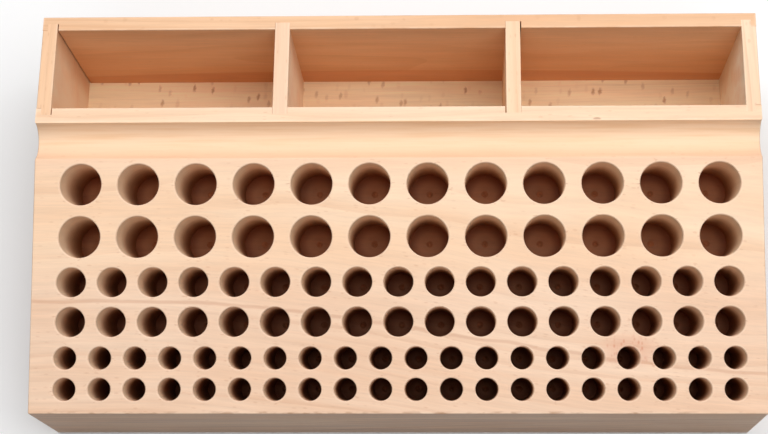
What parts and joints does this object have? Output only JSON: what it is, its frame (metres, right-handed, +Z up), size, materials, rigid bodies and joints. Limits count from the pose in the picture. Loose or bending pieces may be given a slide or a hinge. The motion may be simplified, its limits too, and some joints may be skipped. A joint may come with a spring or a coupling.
{
  "type": "wooden tool holder block",
  "caption": "Beech bench stand for slim hand tools: a sloped block bored with rows of blind holes, a cove, and a divided tray behind.",
  "frame": {"origin": "middle of the footprint, on the surface that the stand rests on", "axes": "+X to the right along the rows of holes, +Y from the low front to the tray, +Z up"},
  "size_m": [0.251, 0.138, 0.06],
  "materials": {
    "block_beech": "planed and finely sanded pale beech, unfinished, grain along the width",
    "board_beech": "planed thin beech board, unfinished, grain along its length",
    "floor_beech": "thin beech panel with small dark ray flecks, unfinished"
  },
  "bodies": {
    "root": {"drilled_block": "block_beech", "tray_front_board": "board_beech", "tray_back_board": "board_beech", "left_end_board": "board_beech", "right_end_board": "board_beech", "left_divider": "board_beech", "right_divider": "board_beech", "tray_floor": "floor_beech"}
  },
  "joints": []
}
